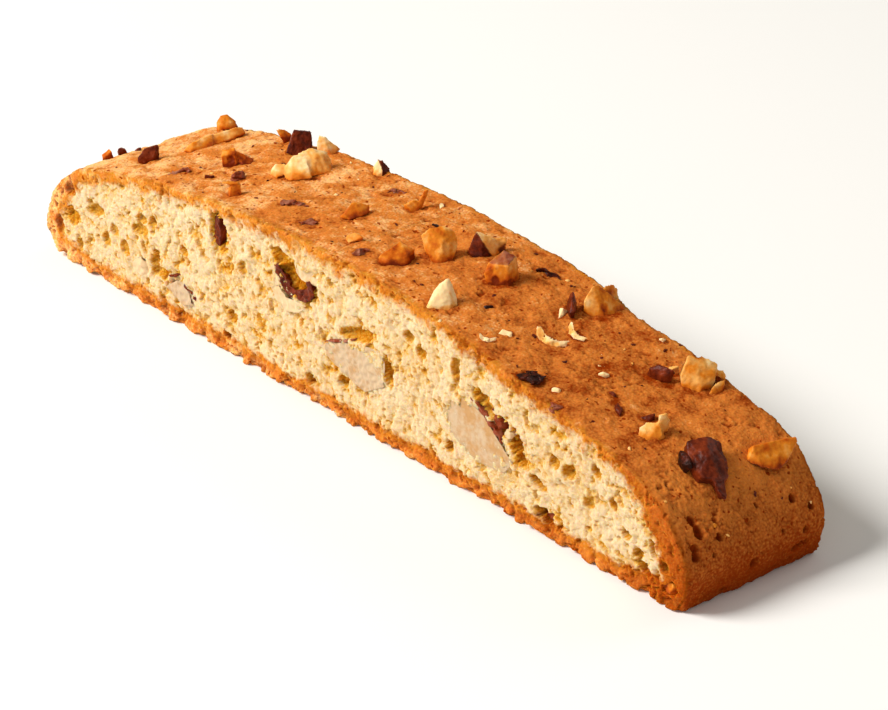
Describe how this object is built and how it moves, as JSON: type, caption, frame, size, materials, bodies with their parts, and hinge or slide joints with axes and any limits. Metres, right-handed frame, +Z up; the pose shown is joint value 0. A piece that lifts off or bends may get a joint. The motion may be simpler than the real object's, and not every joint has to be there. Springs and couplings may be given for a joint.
{
  "type": "almond biscotti",
  "caption": "Long crisp slice of twice-baked almond loaf: domed brown crust with chopped nuts, pale porous cut faces and a flat base.",
  "frame": {"origin": "centre of the flat base, on the surface that the slice lies on", "axes": "+X along the slice towards its blunt end, +Y through its thickness towards the back cut face, +Z up from the base to the crown of the crust"},
  "size_m": [0.1253, 0.0233, 0.0253],
  "materials": {
    "biscuit": "dry baked crust, golden brown, with cream crumb on the two cut faces"
  },
  "bodies": {
    "root": {"biscotti": "biscuit"}
  },
  "joints": []
}
